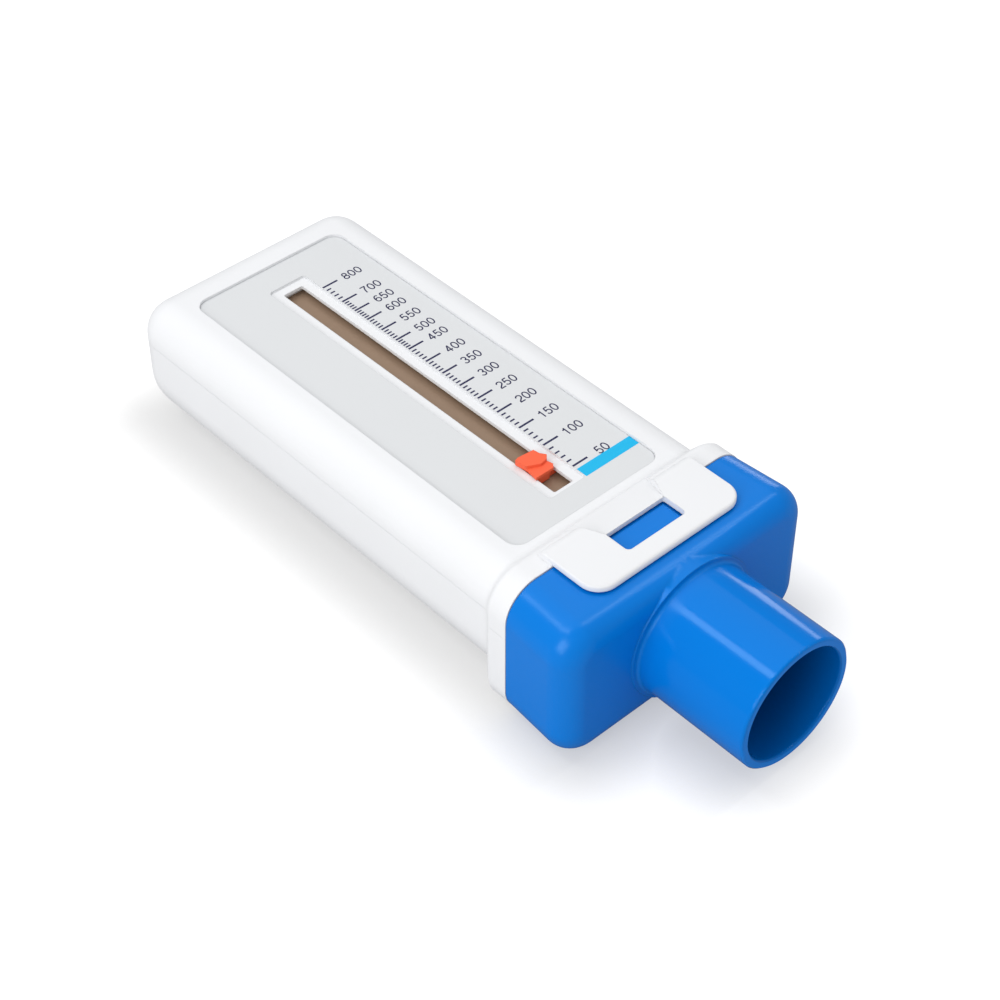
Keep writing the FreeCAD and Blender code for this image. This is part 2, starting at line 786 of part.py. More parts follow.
rim = [(0.36, 0.36), (0.50, 0.50), (0.36, 0.69), (0.32, 0.93), (-0.36, 0.99), (-0.50, 0.95)]
lower = on_xy(knob, knob_base, "knob_outline")
draw_outline(lower, on_knob([(-0.42, 0.48), (-0.50, 0.0), (0.30, 0.0), (0.42, 0.14)] + rim))
pad(knob, lower, knob_height - knob_step, "knob_plate")
upper = on_xy(knob, knob_base + knob_height - knob_step, "plateau_outline")
draw_outline(upper, on_knob([(-0.44, 0.52), (0.04, 0.30)] + rim))
pad(knob, upper, knob_step, "knob_plateau")
stem = on_xy(knob, knob_base + 0.2, "stem_outline")
draw_rectangle(stem, -stem_half, stem_half, pointer_place - key_start, pointer_place + stem_back)
pad(knob, stem, knob_base + 0.2 - shoe_top, "stem", back=True)
key = on_xy(knob, knob_base + 0.2, "key_outline")
draw_rectangle(
    key, -stem_half, key_width - stem_half, pointer_place - stem_near, pointer_place - key_start + 0.2
)
pad(knob, key, knob_base + 0.2 - shoe_top, "key", back=True)
apron = on_xy(knob, shoe_top + 0.2, "apron_outline")
draw_rectangle(
    apron, -stem_half, key_width - stem_half, pointer_place - stem_near, shoe_near_edge - pin_gap
)
pad(knob, apron, shoe_thickness + 0.2, "apron", back=True)
pin = on_xy(knob, shoe_top + 0.1, "pin_outline")
draw_circle(pin, 0, pointer_place, stem_pin)
pad(knob, pin, shoe_thickness - 0.1, "pin", back=True)

shoe = new_body("pointer_shoe")
sole = on_xy(shoe, shoe_base, "sole_outline")
shoe_near = shoe_near_edge
shoe_far = pointer_place + shoe_length / 2
draw_rectangle(sole, -shoe_width / 2, shoe_width / 2, shoe_near, shoe_far)
draw_circle(sole, 0, pointer_place, stem_pin + pin_gap)
pad(shoe, sole, shoe_thickness, "sole")
legs = on_xy(shoe, shoe_base + 0.1, "leg_outline")
draw_rectangle(legs, -shoe_width / 2, -shoe_width / 2 + shoe_leg, shoe_near, shoe_far)
draw_rectangle(legs, shoe_width / 2 - shoe_leg, shoe_width / 2, shoe_near, shoe_far)
pad(shoe, legs, leg_drop + 0.1, "legs", back=True)

felt = new_body("friction_pad")
felt_outline = on_xy(felt, shoe_base, "felt_outline")
draw_rectangle(
    felt_outline, -pad_width / 2, pad_width / 2, shoe_near + 0.4, shoe_far - 0.4
)
pad(felt, felt_outline, strip_gap - 0.04, "felt", back=True)

# Piston vane: a thin skirted plate that fills the chamber, notched round the strip.
vane = new_body("piston_vane")
vane_face = shoe_near - push_gap
vane_half = inside - vane_gap
vane_low = wall + vane_gap
vane_high = ceiling - vane_gap
vane_keel = keel_radius - wall - vane_gap
vane_crown = crown_radius - wall - vane_gap
plate = on_xz(vane, vane_face, "vane_outline")
draw_rounded(plate, -vane_half, vane_half, vane_low, vane_high, vane_keel, vane_crown)
pad(vane, plate, vane_skirt, "vane_blank")
hollow = on_xz(vane, vane_face - vane_skirt, "vane_hollow_outline")
draw_rounded(
    hollow,
    -vane_half + vane_wall,
    vane_half - vane_wall,
    vane_low + vane_wall,
    vane_high - vane_wall,
    vane_keel - vane_wall,
    vane_crown - vane_wall,
)
pocket(vane, hollow, vane_skirt - vane_thickness, "vane_hollow", back=True)
ridge = on_xz(vane, vane_face, "notch_wall_outline")
notch_half = track_half + vane_notch_gap
notch_low = strip_top - strip_thickness - vane_notch_gap - 0.75
draw_rectangle(ridge, -notch_half - vane_wall, notch_half + vane_wall, notch_low - vane_wall, vane_high - 0.3)
pad(vane, ridge, vane_skirt, "notch_wall")
notch = on_xz(vane, vane_face + 1.0, "notch_outline")
draw_rectangle(notch, -notch_half, notch_half, notch_low, ceiling + 2.0)
pocket(vane, notch, vane_skirt + 2.0, "notch_cut")
cross = on_xz(vane, vane_face, "rib_cross_outline")
draw_rectangle(cross, -vane_half + vane_wall / 2, vane_half - vane_wall / 2, rod_height - 0.6, rod_height + 0.6)
pad(vane, cross, vane_skirt, "vane_rib_across")
stiff = on_xz(vane, vane_face, "rib_upright_outline")
draw_rectangle(stiff, -0.6, 0.6, vane_low + vane_wall / 2, notch_low - vane_wall / 2)
pad(vane, stiff, vane_skirt, "vane_rib_upright")
collar = on_xz(vane, vane_face, "vane_collar_outline")
draw_circle(collar, 0, rod_height, hub_radius + 1.4)
pad(vane, collar, vane_skirt, "vane_collar")
eye = on_xz(vane, vane_face + 1.0, "vane_eye_outline")
draw_circle(eye, 0, rod_height, hub_radius + hub_fit)
pocket(vane, eye, vane_skirt + 2.0, "vane_eye")


def turned(label, points, place):
    """A turned piece on the rod's line: the points are radius and distance along +Y from its place."""
    body = new_body(label)
    sketch = body.newObject("Sketcher::SketchObject", f"{label}_half")
    sketch.AttachmentSupport = [(base_plane(body, "XY_Plane"), "")]
    sketch.MapMode = "FlatFace"
    draw_outline(sketch, points)
    spin = body.newObject("PartDesign::Revolution", f"{label}_turned")
    spin.Profile = sketch
    spin.ReferenceAxis = (sketch, ["V_Axis"])
    spin.Angle = 360.0
    sketch.Visibility = False
    place = as_size(place)
    body.Placement = Placement(Vector(0, place.value, rod_height.value), Rotation())
    bind(body, "Placement.Base.y", place)
    bind(body, "Placement.Base.z", rod_height)
    return body


# Hub: runs on the rod, carries the vane, and its nose centres the spring.
run_radius = rod_radius + rod_run
hub_tail = vane_skirt + hub_back_length
hub = turned(
    "piston_hub",
    [
        (run_radius, -hub_tail),
        (hub_radius, -hub_tail),
        (hub_radius, 0),
        (hub_flange_radius, 0),
        (hub_flange_radius, hub_flange_length),
        (hub_nose_radius, hub_flange_length),
        (hub_nose_radius, hub_flange_length + hub_nose_length),
        (run_radius, hub_flange_length + hub_nose_length),
    ],
    vane_face,
)
turned(
    "hub_ring",
    [
        (hub_radius + ring_fit, 0),
        (hub_flange_radius, 0),
        (hub_flange_radius, ring_thickness),
        (hub_radius + ring_fit, ring_thickness),
    ],
    vane_face - vane_skirt - ring_thickness,
)

# Rod between the two bridges, with a push-on nut behind the far one.
hub_start = vane_face - hub_tail
rod_start = bridge_place + socket_floor
rod_end = back_bridge_place + bridge_thickness + nut_thickness + 1.2
turned(
    "guide_rod",
    [(0, 0), (rod_radius, 0), (rod_radius, rod_end - rod_start), (0, rod_end - rod_start)],
    rod_start,
)


def bridge(label, place, through):
    """A spoked plate across the chamber; its hub holds one end of the rod."""
    body = new_body(label)
    rim = on_xz(body, place, f"{label}_outline")
    out = inside - bridge_gap
    low = wall + bridge_gap
    high = ceiling - bridge_gap
    draw_rounded(rim, -out, out, low, high, keel_radius - wall - bridge_gap, crown_radius - wall - bridge_gap)
    draw_rounded(
        rim,
        -out + bridge_rim,
        out - bridge_rim,
        low + bridge_rim,
        high - bridge_rim,
        keel_radius - wall - bridge_gap - bridge_rim,
        crown_radius - wall - bridge_gap - bridge_rim,
    )
    pad(body, rim, bridge_thickness, f"{label}_rim", back=True)
    across = on_xz(body, place, f"{label}_across_outline")
    reach = out - bridge_rim / 2
    draw_rectangle(across, -reach, reach, rod_height - spoke_width / 2, rod_height + spoke_width / 2)
    pad(body, across, bridge_thickness, f"{label}_across", back=True)
    updown = on_xz(body, place, f"{label}_upright_outline")
    draw_rectangle(
        updown, -spoke_width / 2, spoke_width / 2, low + bridge_rim / 2, high - bridge_rim / 2
    )
    pad(body, updown, bridge_thickness, f"{label}_upright", back=True)
    middle = on_xz(body, place, f"{label}_hub_outline")
    draw_circle(middle, 0, rod_height, bridge_hub_radius)
    pad(body, middle, bridge_thickness if through else bridge_hub_length, f"{label}_hub", back=True)
    hole = on_xz(body, place - 1.0 if through else place + socket_floor, f"{label}_eye_outline")
    draw_circle(hole, 0, rod_height, rod_radius + stop_fit)
    pocket(body, hole, bridge_hub_length + 3.0, f"{label}_eye", back=True)
    return body


bridge("front_bridge", bridge_place, False)
bridge("back_bridge", back_bridge_place, True)
turned(
    "rod_push_nut",
    [
        (rod_radius + ring_fit, 0),
        (nut_radius, 0),
        (rod_radius + 0.9, nut_thickness),
        (rod_radius + ring_fit, nut_thickness),
    ],
    back_bridge_place + bridge_thickness,
)

# Rubber stops at both ends of the hub's run, and the washer under the spring.
zero_start = bridge_place + bridge_hub_length
turned(
    "zero_stop",
    [
        (rod_radius + stop_fit, 0),
        (stop_radius, 0),
        (stop_radius, hub_start - zero_start - stop_gap),
        (rod_radius + stop_fit, hub_start - zero_start - stop_gap),
    ],
    zero_start,
)
turned(
    "spring_washer",
    [
        (rod_radius + stop_fit, 0),
        (washer_radius, 0),
        (washer_radius, washer_thickness),
        (rod_radius + stop_fit, washer_thickness),
    ],
    back_bridge_place - washer_thickness,
)
turned(
    "end_stop",
    [
        (rod_radius + stop_fit, 0),
        (end_stop_radius, 0),
        (end_stop_radius, end_stop_length),
        (rod_radius + stop_fit, end_stop_length),
    ],
    back_bridge_place - washer_thickness - end_stop_length,
)


def coil(radius, wire, turns, length):
    """A coil spring along +Y: half turns in planes tilted to and fro, each joined to the last.

    Each half turn is a true arc whose ends run square to the tilt, so the joins are smooth.
    """
    pitch = length / turns
    angles = [math.radians(90 * i + 45) for i in range(4)]
    corners = [
        Vector(radius + wire / 2 * math.cos(a), wire / 2 * math.sin(a), 0) for a in angles
    ]
    section = Part.makePolygon(corners + corners[:1])
    faces = [Part.Face(section)]
    for i in range(int(round(turns * 2))):
        side = 1 if i % 2 == 0 else -1
        low = Vector(side * radius, pitch / 2 * i, 0)
        high = Vector(-side * radius, pitch / 2 * (i + 1), 0)
        centre = (low + high) / 2
        run = high - low
        axis = Vector(run.y, -run.x, 0)
        axis.normalize()
        if axis.y < 0:
            axis = -axis
        faces.extend(section.revolve(centre, axis, 180).Faces)
        section = section.copy()
        section.rotate(centre, axis, 180)
    faces.append(Part.Face(section))
    skin = Part.makeShell(faces)
    skin.sewShape()
    solid = Part.makeSolid(skin)
    if solid.Volume < 0:
        solid.reverse()
    return solid


spring_start = vane_face + hub_flange_length + spring_gap + spring_wire / 2
spring_stop = back_bridge_place - washer_thickness - spring_gap - spring_wire / 2
spring = doc.addObject("Part::Feature", "return_spring")
spring.Shape = coil(
    spring_radius.value, spring_wire.value, spring_turns.value, (spring_stop - spring_start).value
)
spring.Placement = Placement(Vector(0, spring_start.value, rod_height.value), Rotation())

# Casing screws, driven from the back.
screws = []
for index, (across, along) in enumerate(corners):
    screw = new_body(f"screw_{index + 1}")
    turn = screw.newObject("Sketcher::SketchObject", f"screw_half_{index + 1}")
    turn.AttachmentSupport = [(base_plane(screw, "XZ_Plane"), "")]
    turn.MapMode = "FlatFace"
    tip = seam_height - 0.2 + screw_bite
    draw_outline(
        turn,
        [
            (0, screw_head_depth - screw_head_height),
            (screw_head_radius, screw_head_depth - screw_head_height),
            (screw_head_radius, screw_head_depth),
            (screw_radius - 0.02, screw_head_depth),
            (screw_radius - 0.02, tip),
            (0, tip),
        ],
    )
    spin = screw.newObject("PartDesign::Revolution", f"screw_turned_{index + 1}")
    spin.Profile = turn
    spin.ReferenceAxis = (turn, ["V_Axis"])
    spin.Angle = 360.0
    turn.Visibility = False
    cross = on_xy(screw, screw_head_depth - screw_head_height - 0.1, f"drive_across_{index + 1}")
    reach = screw_head_radius * 0.62
    draw_rectangle(cross, -reach, reach, -drive_width / 2, drive_width / 2)
    pocket(screw, cross, drive_depth + 0.1, f"drive_slot_{index + 1}")
    cross = on_xy(screw, screw_head_depth - screw_head_height - 0.1, f"drive_along_{index + 1}")
    draw_rectangle(cross, -drive_width / 2, drive_width / 2, -reach, reach)
    pocket(screw, cross, drive_depth + 0.1, f"drive_cross_{index + 1}")
    screw.Placement = Placement(Vector(across.value, along.value, 0), Rotation())
    bind(screw, "Placement.Base.x", across)
    bind(screw, "Placement.Base.y", along)
    screws.append(screw)
casing_screws = doc.addObject("Part::Compound", "casing_screws")
casing_screws.Links = screws

# Mouthpiece: a hollow block with a skirt that plugs into the flange, and the round spigot.
mouth = new_body("mouthpiece")
block_back = flange_face - joint_gap
block_half = block_width / 2
rear = on_xz(mouth, block_back, "block_rear")
draw_rounded(rear, -flange_half, flange_half, 0.1, block_height, block_radius, block_radius)
line = on_xz(mouth, block_line, "block_line_section")
draw_rounded(line, -block_half, block_half, 0, block_height, block_radius, block_radius)
taper = mouth.newObject("PartDesign::AdditiveLoft", "block_taper")
taper.Profile = rear
taper.Sections = [(line, "")]
taper.Ruled = True
nose = on_xz(mouth, block_line, "block_nose_section")
draw_rounded(nose, -block_half, block_half, 0, block_height, block_radius, block_radius)
pad(mouth, nose, block_line - block_front, "block_nose")
round_edges(mouth, "block_front_round", block_edge, lambda e: flat_at(e, 1, block_front))
skirt = on_xz(mouth, block_back - 0.2, "skirt_section")
skirt_half = socket_half - skirt_gap
skirt_low = socket_low + skirt_gap
skirt_high = socket_high - skirt_gap
skirt_corner = socket_corner - skirt_gap
draw_rounded(skirt, -skirt_half, skirt_half, skirt_low, skirt_high, skirt_corner, skirt_corner)
gasket_seat = flange_face + socket_depth
skirt_end = gasket_seat - gasket_thickness - skirt_relief
pad(mouth, skirt, skirt_end - block_back + 0.2, "skirt", back=True)
collar_face = block_front - collar_height
neck = on_xz(mouth, collar_face + collar_depth, "collar_outline")
draw_circle(neck, 0, spigot_height, collar_radius)
pad(mouth, neck, collar_depth, "spigot_collar")
spigot = on_xz(mouth, collar_face + 1.0, "spigot_outline")
draw_circle(spigot, 0, spigot_height, spigot_radius)
pad(mouth, spigot, collar_face + 1.0 - spigot_end, "spigot")
round_edges(
    mouth,
    "spigot_root_round",
    spigot_root,
    lambda e: flat_at(e, 1, collar_face) and near(e.BoundBox.XLength, spigot_radius * 2, 0.1),
    "Chamfer",
)
core = on_xz(mouth, skirt_end + 1.0, "hollow_section")
draw_rounded(
    core,
    -skirt_half + skirt_wall,
    skirt_half - skirt_wall,
    skirt_low + skirt_wall,
    skirt_high - skirt_wall,
    skirt_corner - skirt_wall,
    skirt_corner - skirt_wall,
)
pocket(mouth, core, skirt_end + 1.0 - block_front - block_wall - 0.6, "block_hollow")
bore = on_xz(mouth, block_front + block_wall + 3.0, "bore_outline")
draw_circle(bore, 0, spigot_height, spigot_bore)
pocket(mouth, bore, block_front + block_wall + 4.0 - spigot_end, "spigot_bore_cut")
round_edges(
    mouth,
    "spigot_rim_bevel",
    rim_bevel,
    lambda e: flat_at(e, 1, spigot_end) and near(e.BoundBox.XLength, spigot_radius * 2, 0.1),
    "Chamfer",
)
round_edges(
    mouth,
    "spigot_mouth_bevel",
    rim_bevel,
    lambda e: flat_at(e, 1, spigot_end) and near(e.BoundBox.XLength, spigot_bore * 2, 0.1),
    "Chamfer",
)
catch_height = tongue_gap * catch_share
catch = on_xy(mouth, block_height - 0.2, "catch_outline")
draw_rectangle(
    catch,
    -window_width / 2 + catch_gap,
    window_width / 2 - catch_gap,
    window_far - window_length + catch_gap,
    window_far - catch_gap,
)
pad(mouth, catch, catch_height + 0.2, "catch")

# Flat rubber gasket on the floor of the socket.
gasket = new_body("mouth_gasket")
ring = on_xz(gasket, gasket_seat, "gasket_section")
draw_rounded(ring, -skirt_half, skirt_half, skirt_low, skirt_high, skirt_corner, skirt_corner)
draw_rounded(
    ring,
    -skirt_half + gasket_width,
    skirt_half - gasket_width,
    skirt_low + gasket_width,
    skirt_high - gasket_width,
    skirt_corner - gasket_width / 2,
    skirt_corner - gasket_width / 2,
)
pad(gasket, ring, gasket_thickness, "gasket_ring")

doc.recompute()

nodes = [
    "front_casing",
    "back_casing",
    "casing_screws",
    "scale_label",
    "slot_strip",
    "strip_rivets",
    "pointer_knob",
    "pointer_shoe",
    "friction_pad",
    "piston_vane",
    "piston_hub",
    "hub_ring",
    "guide_rod",
    "front_bridge",
    "back_bridge",
    "rod_push_nut",
    "zero_stop",
    "end_stop",
    "spring_washer",
    "return_spring",
    "mouthpiece",
    "mouth_gasket",
]
for item in doc.Objects:
    if "Invalid" in item.State or "Error" in item.State:
        raise RuntimeError(f"{item.Label} failed: {item.State}")
os.makedirs("parts", exist_ok=True)
for name in nodes:
    shape = doc.getObjectsByLabel(name)[0].Shape
    if shape.isNull() or not shape.isValid():
        raise RuntimeError(f"{name} has no valid shape")
    shape.exportStep(f"parts/{name}.step")
    box = shape.BoundBox
    print(
        f"{name}: {len(shape.Solids)} solid(s), {shape.Volume:.1f} mm3, "
        f"x {box.XMin:.2f} to {box.XMax:.2f}, y {box.YMin:.2f} to {box.YMax:.2f}, "
        f"z {box.ZMin:.2f} to {box.ZMax:.2f}"
    )
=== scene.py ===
"""Looks, stage and camera for the hand-held peak flow meter, laid out as an add-on."""
import math

import bmesh
import bpy
from bpy.props import FloatProperty, FloatVectorProperty, PointerProperty
from mathutils import Matrix, Vector


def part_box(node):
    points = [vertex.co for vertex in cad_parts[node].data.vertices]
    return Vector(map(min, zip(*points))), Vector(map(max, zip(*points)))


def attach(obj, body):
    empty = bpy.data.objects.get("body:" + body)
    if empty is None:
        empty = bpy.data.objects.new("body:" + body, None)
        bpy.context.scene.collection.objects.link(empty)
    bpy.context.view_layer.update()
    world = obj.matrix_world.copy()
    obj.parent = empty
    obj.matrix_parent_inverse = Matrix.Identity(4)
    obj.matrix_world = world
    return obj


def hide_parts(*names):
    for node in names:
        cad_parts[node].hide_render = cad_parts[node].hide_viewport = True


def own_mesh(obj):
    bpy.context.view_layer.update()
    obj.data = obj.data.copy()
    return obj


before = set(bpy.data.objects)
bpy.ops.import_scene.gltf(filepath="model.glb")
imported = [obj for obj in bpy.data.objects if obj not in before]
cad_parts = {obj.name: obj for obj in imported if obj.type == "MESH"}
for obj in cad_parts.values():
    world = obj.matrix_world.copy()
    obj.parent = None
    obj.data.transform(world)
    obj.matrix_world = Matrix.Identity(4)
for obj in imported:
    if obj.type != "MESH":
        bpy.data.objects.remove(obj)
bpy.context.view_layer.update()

bl_info = {
    "name": "Peak Flow Meter",
    "version": (1, 0, 0),
    "blender": (4, 5, 0),
    "location": "View3D > Sidebar > Meter",
    "description": "Dresses the peak flow meter's frame and sets its stage",
    "category": "Object",
}

MM = 0.001

# The printed scale: litres a minute, and the place of the mark along the meter in millimetres.
SCALE_MARKS = (
    (50, -17.55),
    (100, -9.38),
    (150, -2.55),
    (200, 3.75),
    (250, 9.38),
    (300, 14.71),
    (350, 19.86),
    (400, 24.84),
    (450, 30.12),
    (500, 34.05),
    (550, 38.57),
    (600, 43.14),
    (650, 47.04),
    (700, 51.11),
    (800, 57.43),
)
# Where the marks start across the label, and the steps between two numbered marks.
SCALE_EDGE = 4.75
MARK_STEPS = 5
# Where the numbers start across the label, with three digits and with two.
NUMBERS_EDGE = 10.0
SHORT_NUMBERS_EDGE = 10.85
# From one digit to the next, as a share of their height, and the degrees between points of an arc.
DIGIT_ADVANCE = 0.74
ARC_STEP = 18.0
# The unit bar's two ends along the meter, and how far it stays inside the label's edge.
UNIT_BAR = (-21.35, -18.65)
UNIT_BAR_INSET = 0.02

# Painted shade in the bore: the colour darkens toward the dark navy below over this depth; the
# spigot's gloss gives way to the block's between the others.
BORE_FADE = 0.016
BLOCK_FROM, BLOCK_TO = 0.0215, 0.0245
BORE_PAINTED_SHADE = (0.0, 0.008, 0.10)

# The wound spring: points in a turn, closed turns at each end, and their pitch in wire radii.
COIL_STEPS = 36
CLOSED_TURNS = 1.0
CLOSED_PITCH = 2.1

# The lamps: place, size and power.
LAMPS = {
    "top_panel": ((0.20, 0.30, 0.80), (0.9, 0.9), 1.38),
    "left_panel": ((-0.75, -0.10, 0.42), (0.5, 0.5), 2.7),
    "spigot_strip": ((-0.29, 0.27, 0.69), (0.13, 0.5), 0.82),
    "edge_strip": ((0.42, -0.10, 0.72), (0.5, 0.06), 0.6),
    "right_panel": ((0.72, 0.34, 0.14), (0.22, 0.22), 0.35),
}
# The point that the lamps face.
LIT_POINT = (0.0, 0.0, 0.015)
# The sky's strength, and what the glossy parts mirror of it.
SKY, SKY_MIRRORED = 0.64, 0.15

# The floor: half its side, how far it lies under the meter, its paper and its glow.
FLOOR_REACH = 3.0
FLOOR_DROP = 0.0001
PAPER, PAPER_MIRRORED = 0.5, 0.35
GLOW, GLOW_SEEN, GLOW_MIRRORED = 0.28, 0.36, 0.2
# The painted shadow under the body and the spigot: half width, middle and half length in
# millimetres.
PAINTED_SHADOW_PATCHES = ((26.6, 12.0, 64.1), (6.8, -68.0, 4.8))
# How far out the painted shadow fades, and how dark it is at the meter.
PAINTED_SHADOW_FADE = 0.0191
PAINTED_SHADOW_DEPTH = 0.28

# The camera as fitted to the photograph.
LENS = 79.47
CAMERA_PLACE = (-0.21547, -0.23702, 0.31082)
CAMERA_TILT = 90.0 - 43.12
CAMERA_HEADING = -42.55


def colour(name, text, value):
    return FloatVectorProperty(
        name=name, description=text, default=value, subtype="COLOR", size=3, min=0.0, max=1.0
    )


def length(name, text, value):
    return FloatProperty(name=name, description=text, default=value, unit="LENGTH", min=0.0)


class MeterSizes(bpy.types.PropertyGroup):
    """Sizes of the printed scale and of the soft edges."""

    edge_round: length("Edge round", "Radius that softens the moulded edges", 0.00030)
    major_tick: length("Major tick", "Length of a numbered mark", 0.00385)
    minor_tick: length("Minor tick", "Length of a mark between the numbered ones", 0.00115)
    major_width: length("Major width", "Thickness of a numbered mark", 0.00046)
    minor_width: length("Minor width", "Thickness of a mark between the numbered ones", 0.00038)
    digit_height: length("Digit height", "Height of the numbers", 0.0022)
    pen: length("Pen", "Thickness of the numbers' strokes", 0.00030)
    ink: length("Ink", "Height of the print above the label", 0.00002)
    # Bore height and bore reach place the painted shade inside the bore.
    bore_height: length("Bore height", "Height of the spigot's middle above the table", 0.0162)
    bore_reach: length("Bore reach", "Radius within which a face belongs to the bore", 0.0124)
    spring_radius: length("Spring radius", "From the rod's middle to the wire's middle", 0.0031)
    spring_wire: length("Spring wire", "Thickness of the spring's wire", 0.00045)
    spring_turns: FloatProperty(name="Spring turns", default=16.0, min=4.0)
    spring_keep: FloatProperty(
        name="Spring keep", description="Share left when pressed", default=0.146
    )


class MeterColours(bpy.types.PropertyGroup):
    """Colours of the meter's parts."""

    white: colour("White shell", "Moulded body", (0.83, 0.84, 0.86))
    label: colour("Label", "Film around the slot", (0.70, 0.715, 0.73))
    navy: colour("Scale print", "Marks and numbers", (0.022, 0.022, 0.085))
    cyan: colour("Unit bar", "Bar at the low end of the scale", (0.0, 0.46, 0.80))
    brown: colour("Strip", "Strip behind the slot", (0.34, 0.23, 0.155))
    orange: colour("Pointer", "Sliding pointer", (0.95, 0.14, 0.06))
    blue: colour("Mouthpiece", "Moulded mouthpiece", (0.0, 0.19, 0.69))


class Wire:
    """A shader socket that can be added, multiplied and so on."""

    def __init__(self, shader, socket):
        self.shader = shader
        self.socket = socket

    def maths(self, operation, *terms):
        return self.shader.maths(operation, *terms)

    def __add__(self, other):
        return self.maths("ADD", self, other)

    __radd__ = __add__

    def __sub__(self, other):
        return self.maths("SUBTRACT", self, other)

    def __rsub__(self, other):
        return self.maths("SUBTRACT", other, self)

    def __mul__(self, other):
        return self.maths("MULTIPLY", self, other)

    __rmul__ = __mul__

    def beyond(self, middle, half):
        """How far the value lies outside a stretch that reaches half to each side of the middle."""
        return self.maths("MAXIMUM", self.maths("ABSOLUTE", self - middle) - half, 0.0)

    def below(self, other):
        return self.maths("LESS_THAN", self, other)

    def within(self, low, high):
        """Nought at the low place and one at the high one, held at both ends."""
        share = (self - low) * (1.0 / (high - low))
        return self.maths("MINIMUM", self.maths("MAXIMUM", share, 0.0), 1.0)


class Finish:
    """A material under construction: its nodes are made and linked by one method."""

    def __init__(self, name):
        self.material = bpy.data.materials.new(name)
        self.material.use_nodes = True
        self.tree = self.material.node_tree
        self.tree.nodes.clear()
        self.out = self.tree.nodes.new("ShaderNodeOutputMaterial")

    def node(self, kind, settings=None, inputs=None, output=0):
        made = self.tree.nodes.new(kind)
        for key, value in (settings or {}).items():
            setattr(made, key, value)
        for key, value in (inputs or {}).items():
            if isinstance(value, Wire):
                self.tree.links.new(value.socket, made.inputs[key])
            else:
                made.inputs[key].default_value = value
        return Wire(self, made.outputs[output])

    def maths(self, operation, *terms):
        return self.node("ShaderNodeMath", {"operation": operation}, dict(enumerate(terms)))

    def place(self):
        return self.node("ShaderNodeTexCoord", output="Object")

    def axes(self):
        """The three parts of the place on the piece."""
        split = self.node("ShaderNodeSeparateXYZ", inputs={"Vector": self.place()})
        return [Wire(self, split.socket.node.outputs[index]) for index in range(3)]

    def noise(self, scale, detail=3.0, roughness=0.5):
        inputs = {"Vector": self.place(), "Scale": scale, "Detail": detail, "Roughness": roughness}
        return self.node("ShaderNodeTexNoise", inputs=inputs)

    def blend(self, share, first, second):
        return self.node(
            "ShaderNodeMix", {"data_type": "RGBA"}, {0: share, 6: first, 7: second}, output=2
        )

    def soft_edge(self, radius):
        return self.node("ShaderNodeBevel", {"samples": 4}, {"Radius": radius})

    def bump(self, height, strength, distance, normal=None):
        inputs = {"Height": height, "Strength": strength, "Distance": distance}
        if normal is not None:
            inputs["Normal"] = normal
        return self.node("ShaderNodeBump", inputs=inputs)

    def surface(self, **inputs):
        named = {key.replace("_", " "): value for key, value in inputs.items()}
        return self.show(self.node("ShaderNodeBsdfPrincipled", inputs=named))

    def show(self, shader):
        """Sends the shader to the material's output."""
        self.tree.links.new(shader.socket, self.out.inputs["Surface"])
        return self.material


def rgba(shade, factor=1.0):
    return (*(min(1.0, part * factor) for part in shade), 1.0)


def moulded(name, shade, edge, sheen, mottle, grain, level):
    """Moulded plastic: a faint drift of colour, a fine skin texture and softened edges."""
    finish = Finish(name)
    drift = finish.noise(45.0, 4.0)
    skin = finish.noise(2600.0, 2.0)
    waves = finish.noise(160.0, 2.0)
    base = finish.blend(drift, rgba(shade, 1 - mottle), rgba(shade, 1 + mottle))
    gloss = sheen + 0.12 * drift + 0.05 * skin
    normal = finish.bump(skin + 1.6 * waves, grain, 0.00012, finish.soft_edge(edge))
    return finish.surface(
        Base_Color=base, Roughness=gloss, Normal=normal, Specular_IOR_Level=level
    )


def mouth_plastic(name, shade, edge):
    """The mouthpiece's glossy plastic, with shade painted into its colour that darkens the deeper
    it lies in the bore.
    """
    finish = Finish(name)
    low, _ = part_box("mouthpiece")
    across, along, up = finish.axes()
    rise = up - sizes().bore_height
    inside = (across * across + rise * rise).below(sizes().bore_reach ** 2)
    depth = along.within(low.y, low.y + BORE_FADE)
    on_block = along.within(low.y + BLOCK_FROM, low.y + BLOCK_TO)
    drift = finish.noise(60.0, 4.0)
    skin = finish.noise(2200.0, 2.0)
    base = finish.blend(drift, rgba(shade, 0.985), rgba(shade, 1.015))
    # Painted shade: inside the bore the colour is mixed toward a dark navy, more the deeper it
    # lies.
    colour_with_painted_shade = finish.blend(inside * (0.3 + 0.4 * depth), base, rgba(BORE_PAINTED_SHADE))
    normal = finish.bump(skin, 0.02, 0.0001, finish.soft_edge(edge))
    return finish.surface(
        Base_Color=colour_with_painted_shade,
        Roughness=0.10 + 0.05 * drift + 0.13 * on_block,
        Normal=normal,
        Specular_IOR_Level=0.42,
        Specular_Tint=(0.5, 0.78, 1.0, 1.0),
    )


def metal(name, shade, roughness):
    """Drawn steel with fine marks along its length."""
    finish = Finish(name)
    drawn = {"Vector": finish.place(), "Scale": (2400.0, 90.0, 2400.0)}
    place = finish.node("ShaderNodeMapping", inputs=drawn)
    marks = finish.node("ShaderNodeTexNoise", inputs={"Vector": place, "Scale": 1.0, "Detail": 2.0})
    return finish.surface(
        Base_Color=finish.blend(marks, rgba(shade, 0.85), rgba(shade, 1.1)),
        Metallic=1.0,
        Roughness=roughness + 0.15 * marks,
        Normal=finish.bump(marks, 0.08, 0.00005),
    )


def cloth_like(name, shade):
    """Pressed felt: short tangled fibres."""
    finish = Finish(name)
    fibres = finish.noise(5200.0, 5.0, 0.7)
    return finish.surface(
        Base_Color=finish.blend(fibres, rgba(shade, 0.6), rgba(shade, 1.4)),
        Roughness=0.95,
        Normal=finish.bump(fibres, 0.6, 0.0002),
    )


